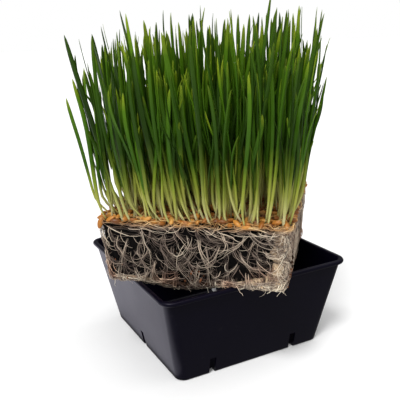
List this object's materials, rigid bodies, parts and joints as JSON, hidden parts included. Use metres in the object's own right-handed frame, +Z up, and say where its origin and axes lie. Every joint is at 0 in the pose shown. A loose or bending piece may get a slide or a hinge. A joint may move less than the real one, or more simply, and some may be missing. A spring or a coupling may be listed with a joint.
{
  "type": "wheatgrass tray",
  "caption": "Square plastic seed tray with a root-bound soil mat of growing wheatgrass lifted out and laid across its rim.",
  "frame": {"origin": "middle of the tray's flat underside, on the surface it stands on", "axes": "+Z up; X and Y along the tray's sides"},
  "size_m": [0.1731, 0.1695, 0.2103],
  "materials": {
    "tray_plastic": "semi-matt black moulded plastic with a faint sheen",
    "soil": "near-black damp growing medium, crumbly and matt",
    "root_felt": "matted cream and grey-beige roots, matt and fibrous",
    "grain_husk": "orange-brown wheat husk with a faint sheen",
    "grass_leaf": "fresh green blade, paler and yellower towards the stem, soft waxy sheen"
  },
  "bodies": {
    "root": {"tray": "tray_plastic", "soil_block": "soil", "root_felt_base": "root_felt", "root_felt_side": "root_felt", "grain_01": "grain_husk", "grain_02": "grain_husk", "grain_03": "grain_husk", "grain_04": "grain_husk", "grain_05": "grain_husk", "grain_06": "grain_husk", "grain_07": "grain_husk", "grain_08": "grain_husk", "grain_09": "grain_husk", "grain_10": "grain_husk", "grain_11": "grain_husk", "grain_12": "grain_husk", "shoot_01": "grass_leaf", "shoot_02": "grass_leaf", "shoot_03": "grass_leaf", "shoot_04": "grass_leaf", "shoot_05": "grass_leaf", "shoot_06": "grass_leaf", "shoot_07": "grass_leaf", "shoot_08": "grass_leaf", "shoot_09": "grass_leaf", "shoot_10": "grass_leaf", "shoot_11": "grass_leaf", "shoot_12": "grass_leaf", "shoot_13": "grass_leaf", "shoot_14": "grass_leaf", "shoot_15": "grass_leaf", "shoot_16": "grass_leaf", "shoot_17": "grass_leaf", "shoot_18": "grass_leaf", "shoot_19": "grass_leaf", "shoot_20": "grass_leaf", "shoot_21": "grass_leaf", "shoot_22": "grass_leaf", "shoot_23": "grass_leaf", "shoot_24": "grass_leaf", "shoot_25": "grass_leaf", "shoot_26": "grass_leaf", "shoot_27": "grass_leaf", "shoot_28": "grass_leaf", "shoot_29": "grass_leaf", "shoot_30": "grass_leaf", "shoot_31": "grass_leaf", "shoot_32": "grass_leaf", "shoot_33": "grass_leaf", "shoot_34": "grass_leaf", "shoot_35": "grass_leaf", "shoot_36": "grass_leaf", "shoot_37": "grass_leaf", "shoot_38": "grass_leaf", "shoot_39": "grass_leaf", "shoot_40": "grass_leaf", "shoot_41": "grass_leaf", "shoot_42": "grass_leaf"}
  },
  "joints": []
}
